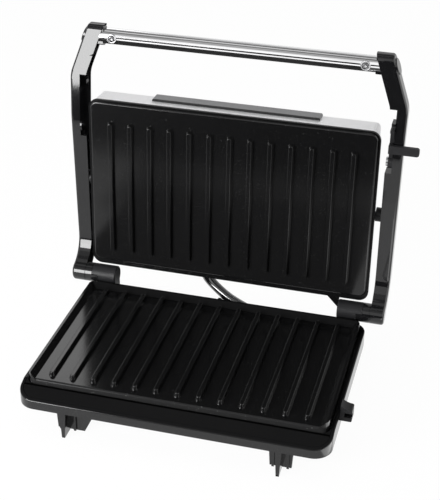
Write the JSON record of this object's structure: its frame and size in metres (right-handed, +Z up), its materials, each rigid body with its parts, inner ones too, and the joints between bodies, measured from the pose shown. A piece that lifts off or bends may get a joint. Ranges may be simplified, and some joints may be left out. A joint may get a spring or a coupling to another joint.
{
  "type": "panini press",
  "caption": "Open electric panini press: ribbed plate in a low base on finned legs, ribbed lid floating between two hinged arms with a tube handle and a lock lever.",
  "frame": {"origin": "on the table under the centre of the base", "axes": "+X to the right of a person in front, +Y to the back, +Z up"},
  "size_m": [0.2803, 0.1996, 0.2562],
  "materials": {
    "housing": "gloss",
    "apron": "satin",
    "plate": "satin non-stick coat",
    "arm": "satin",
    "chrome": "polished",
    "cover": "satin",
    "steel": "satin",
    "element": "satin",
    "reflector": "satin",
    "terminal": "matte",
    "lever": "matte",
    "gland": "matte",
    "sleeve": "gloss",
    "lens_red": "clear gloss",
    "lens_green": "clear gloss"
  },
  "bodies": {
    "base": {"base_housing": "housing", "base_frame": "apron", "lower_plate": "plate", "lower_heater": "element", "lower_reflector": "reflector", "thermostat": "reflector", "terminal_block": "terminal", "foot_front_left": "housing", "foot_front_right": "housing", "foot_rear_left": "housing", "foot_rear_right": "housing", "hinge_bracket_left": "arm", "hinge_bracket_right": "arm", "hinge_pin_left": "steel", "hinge_pin_right": "steel", "lock_catch": "housing", "cord_gland": "gland", "link_gland_base": "gland", "base_screws": "steel", "link_cable": "sleeve"},
    "arms": {"arm_left": "arm", "arm_right": "arm", "handle_tube": "chrome", "handle_plug_left": "arm", "handle_plug_right": "arm", "handle_screws": "steel", "pivot_bush_left": "arm", "pivot_bush_right": "arm", "lever_pivot": "steel"},
    "lid": {"upper_plate": "plate", "lid_frame": "apron", "lid_lug": "apron", "lid_cover": "cover", "lid_trim": "apron", "lamp_red": "lens_red", "lamp_green": "lens_green", "upper_heater": "element", "upper_reflector": "reflector", "lid_pin_left": "steel", "lid_pin_right": "steel", "link_gland_lid": "gland"},
    "lever": {"lock_lever": "lever"}
  },
  "joints": [
    {"name": "main_hinge", "type": "hinge", "parent": "base", "child": "arms", "pos_m": [0, 0.0837, 0.0448], "axis": [1, 0, 0], "range_deg": [0, 90], "deforming": ["link_cable"]},
    {"name": "lid_tilt", "type": "hinge", "parent": "arms", "child": "lid", "pos_m": [0, 0.1023, 0.12545], "axis": [1, 0, 0], "range_deg": [-1.5, 5], "deforming": ["link_cable"]},
    {"name": "lock_lever", "type": "hinge", "parent": "arms", "child": "lever", "pos_m": [0.1242, 0.1012, 0.1729], "axis": [1, 0, 0], "range_deg": [0, 90]}
  ]
}
